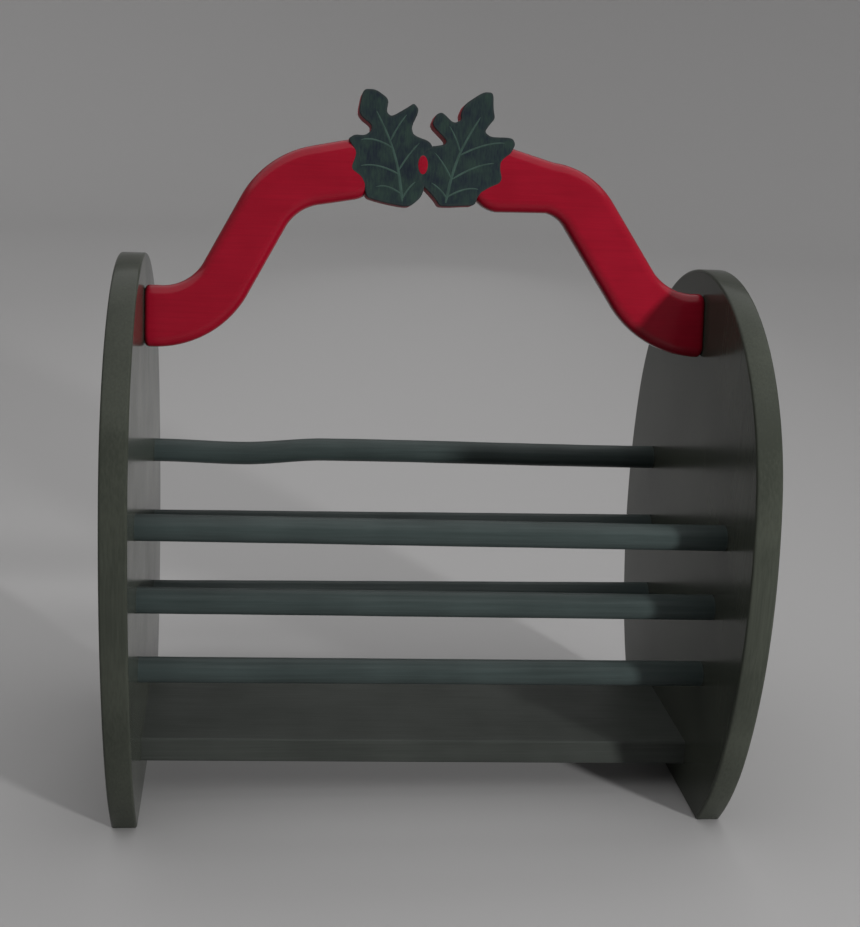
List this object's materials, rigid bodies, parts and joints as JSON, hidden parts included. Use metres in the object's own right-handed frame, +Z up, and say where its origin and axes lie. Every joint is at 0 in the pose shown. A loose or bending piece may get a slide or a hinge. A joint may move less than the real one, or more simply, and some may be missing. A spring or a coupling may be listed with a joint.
{
  "type": "carrying basket",
  "caption": "Painted wooden carrying basket with rounded end boards, a floor board, open sides of round rails and a fixed arched handle cut as holly leaves at its top.",
  "frame": {"origin": "middle of the footprint, on the surface that the end boards stand on", "axes": "+X along the rails to the right as seen from the front, +Y towards the back, +Z up"},
  "size_m": [0.3084, 0.232, 0.3558],
  "materials": {
    "green_paint": "dark green satin enamel on wood",
    "red_paint": "red semi-gloss enamel on wood, leaves in dark green",
    "screw_steel": "zinc-plated steel"
  },
  "bodies": {
    "root": {"left_end_board": "green_paint", "right_end_board": "green_paint", "floor_board": "green_paint", "handle": "red_paint", "front_top_rail": "green_paint", "front_middle_rail": "green_paint", "front_bottom_rail": "green_paint", "rear_top_rail": "green_paint", "rear_middle_rail": "green_paint", "rear_bottom_rail": "green_paint", "handle_screws": "screw_steel", "floor_screws": "screw_steel"}
  },
  "joints": []
}
